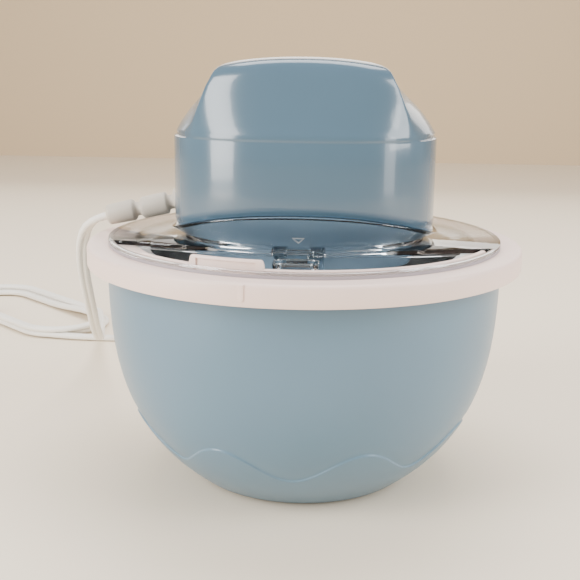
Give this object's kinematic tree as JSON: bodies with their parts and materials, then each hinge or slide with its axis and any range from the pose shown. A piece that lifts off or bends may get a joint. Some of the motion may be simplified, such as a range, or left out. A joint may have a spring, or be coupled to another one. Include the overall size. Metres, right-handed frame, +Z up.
{
  "type": "ice cream maker",
  "caption": "Small ice cream maker: motor unit on a clear lid with a feed opening, over a freezer bowl with a white collar in a round outer bowl, with a mains cord.",
  "frame": {"origin": "on the bowl's axis, on the table the foot pads stand on", "axes": "+Z up along the bowl's axis, -Y towards the front, where the feed opening is, +X to the right"},
  "size_m": [0.3571, 0.3861, 0.1745],
  "materials": {
    "blue_shell": "semi-gloss moulded",
    "blue_housing": "high gloss moulded",
    "blue_base": "gloss moulded",
    "collar_white": "satin moulded",
    "inner_white": "satin moulded",
    "liner_metal": "spun",
    "gel": "frozen gel",
    "rubber": "matte",
    "seal_soft": "soft translucent",
    "clear": "clear moulded plastic",
    "paddle_white": "moulded",
    "steel": "turned",
    "plate_steel": "zinc plated",
    "gear_nylon": "moulded nylon",
    "brass": "sintered",
    "board": "circuit board",
    "lead_red": "insulated lead",
    "switch_black": "moulded",
    "cord_pvc": "satin vinyl",
    "relief_pvc": "matte vinyl",
    "tie_black": "twist tie",
    "pin_metal": "nickel plated"
  },
  "bodies": {
    "outer_bowl": {"outer_bowl": "blue_shell", "foot_pads": "rubber"},
    "freezer_bowl": {"bowl_collar": "collar_white", "freezer_shell": "inner_white", "freezer_liner": "liner_metal", "coolant_gel": "gel", "bowl_gasket": "rubber"},
    "lid_seal": {"lid_seal": "seal_soft"},
    "lid": {"lid": "clear"},
    "release_tab": {"release_tab": "clear"},
    "paddle": {"paddle": "paddle_white"},
    "motor_unit": {"motor_base": "blue_base", "motor_housing": "blue_housing", "housing_screws": "steel", "gear_plate": "plate_steel", "gear_screws": "steel", "gear_axles": "steel", "shaft_bush": "brass", "shaft_seal": "rubber", "motor_can": "plate_steel", "control_board": "board", "inner_leads": "lead_red", "switch_frame": "switch_black", "strain_relief": "relief_pvc", "cord_clamp": "inner_white", "cord": "cord_pvc", "cord_hank": "cord_pvc", "hank_tie": "tie_black", "cord_tail": "cord_pvc", "plug_body": "cord_pvc", "plug_pins": "pin_metal"},
    "drive": {"drive_shaft": "steel", "output_gear": "gear_nylon"},
    "idler_low": {"idler_gear_low": "gear_nylon"},
    "idler_high": {"idler_gear_high": "gear_nylon"},
    "rotor": {"motor_shaft": "steel", "motor_pinion": "brass"},
    "rocker": {"switch_rocker": "switch_black"}
  },
  "joints": [
    {"name": "freezer_bowl_lift", "type": "slide", "parent": "outer_bowl", "child": "freezer_bowl", "axis": [0, 0, 1], "range_m": [0, 0.1]},
    {"name": "lid_lift", "type": "slide", "parent": "freezer_bowl", "child": "lid_seal", "axis": [0, 0, 1], "range_m": [0, 0.08]},
    {"name": "lid_turn", "type": "hinge", "parent": "lid_seal", "child": "lid", "pos_m": [0, 0, 0.101], "axis": [0, 0, 1], "range_deg": [0, 20]},
    {"name": "release_press", "type": "hinge", "parent": "lid", "child": "release_tab", "pos_m": [0, -0.038, 0.1011], "axis": [1, 0, 0], "range_deg": [0, 5], "stiffness_Nm_per_rad": 0.05},
    {"name": "motor_lift", "type": "slide", "parent": "lid", "child": "motor_unit", "axis": [0, 0, 1], "range_m": [0, 0.05]},
    {"name": "paddle_spin", "type": "hinge", "parent": "lid", "child": "paddle", "pos_m": [0, 0, 0.06], "axis": [0, 0, 1], "continuous": true},
    {"name": "drive_spin", "type": "hinge", "parent": "motor_unit", "child": "drive", "pos_m": [0, 0, 0.1], "axis": [0, 0, 1], "continuous": true},
    {"name": "idler_low_spin", "type": "hinge", "parent": "motor_unit", "child": "idler_low", "pos_m": [-0.0105, 0.01819, 0.0996], "axis": [0, 0, 1], "continuous": true},
    {"name": "idler_high_spin", "type": "hinge", "parent": "motor_unit", "child": "idler_high", "pos_m": [0.0105, 0.01819, 0.0996], "axis": [0, 0, 1], "continuous": true},
    {"name": "rotor_spin", "type": "hinge", "parent": "motor_unit", "child": "rotor", "pos_m": [0.021, 0, 0.0996], "axis": [0, 0, 1], "continuous": true},
    {"name": "rocker_tilt", "type": "hinge", "parent": "motor_unit", "child": "rocker", "pos_m": [0, 0.0446, 0.1303], "axis": [1, 0, 0], "range_deg": [-14, 0]}
  ],
  "couplings": [
    {"joint": "idler_high_spin", "follows": "rotor_spin", "ratio": -0.25},
    {"joint": "idler_low_spin", "follows": "rotor_spin", "ratio": 0.0625},
    {"joint": "drive_spin", "follows": "rotor_spin", "ratio": -0.015625},
    {"joint": "paddle_spin", "follows": "rotor_spin", "ratio": -0.015625}
  ]
}
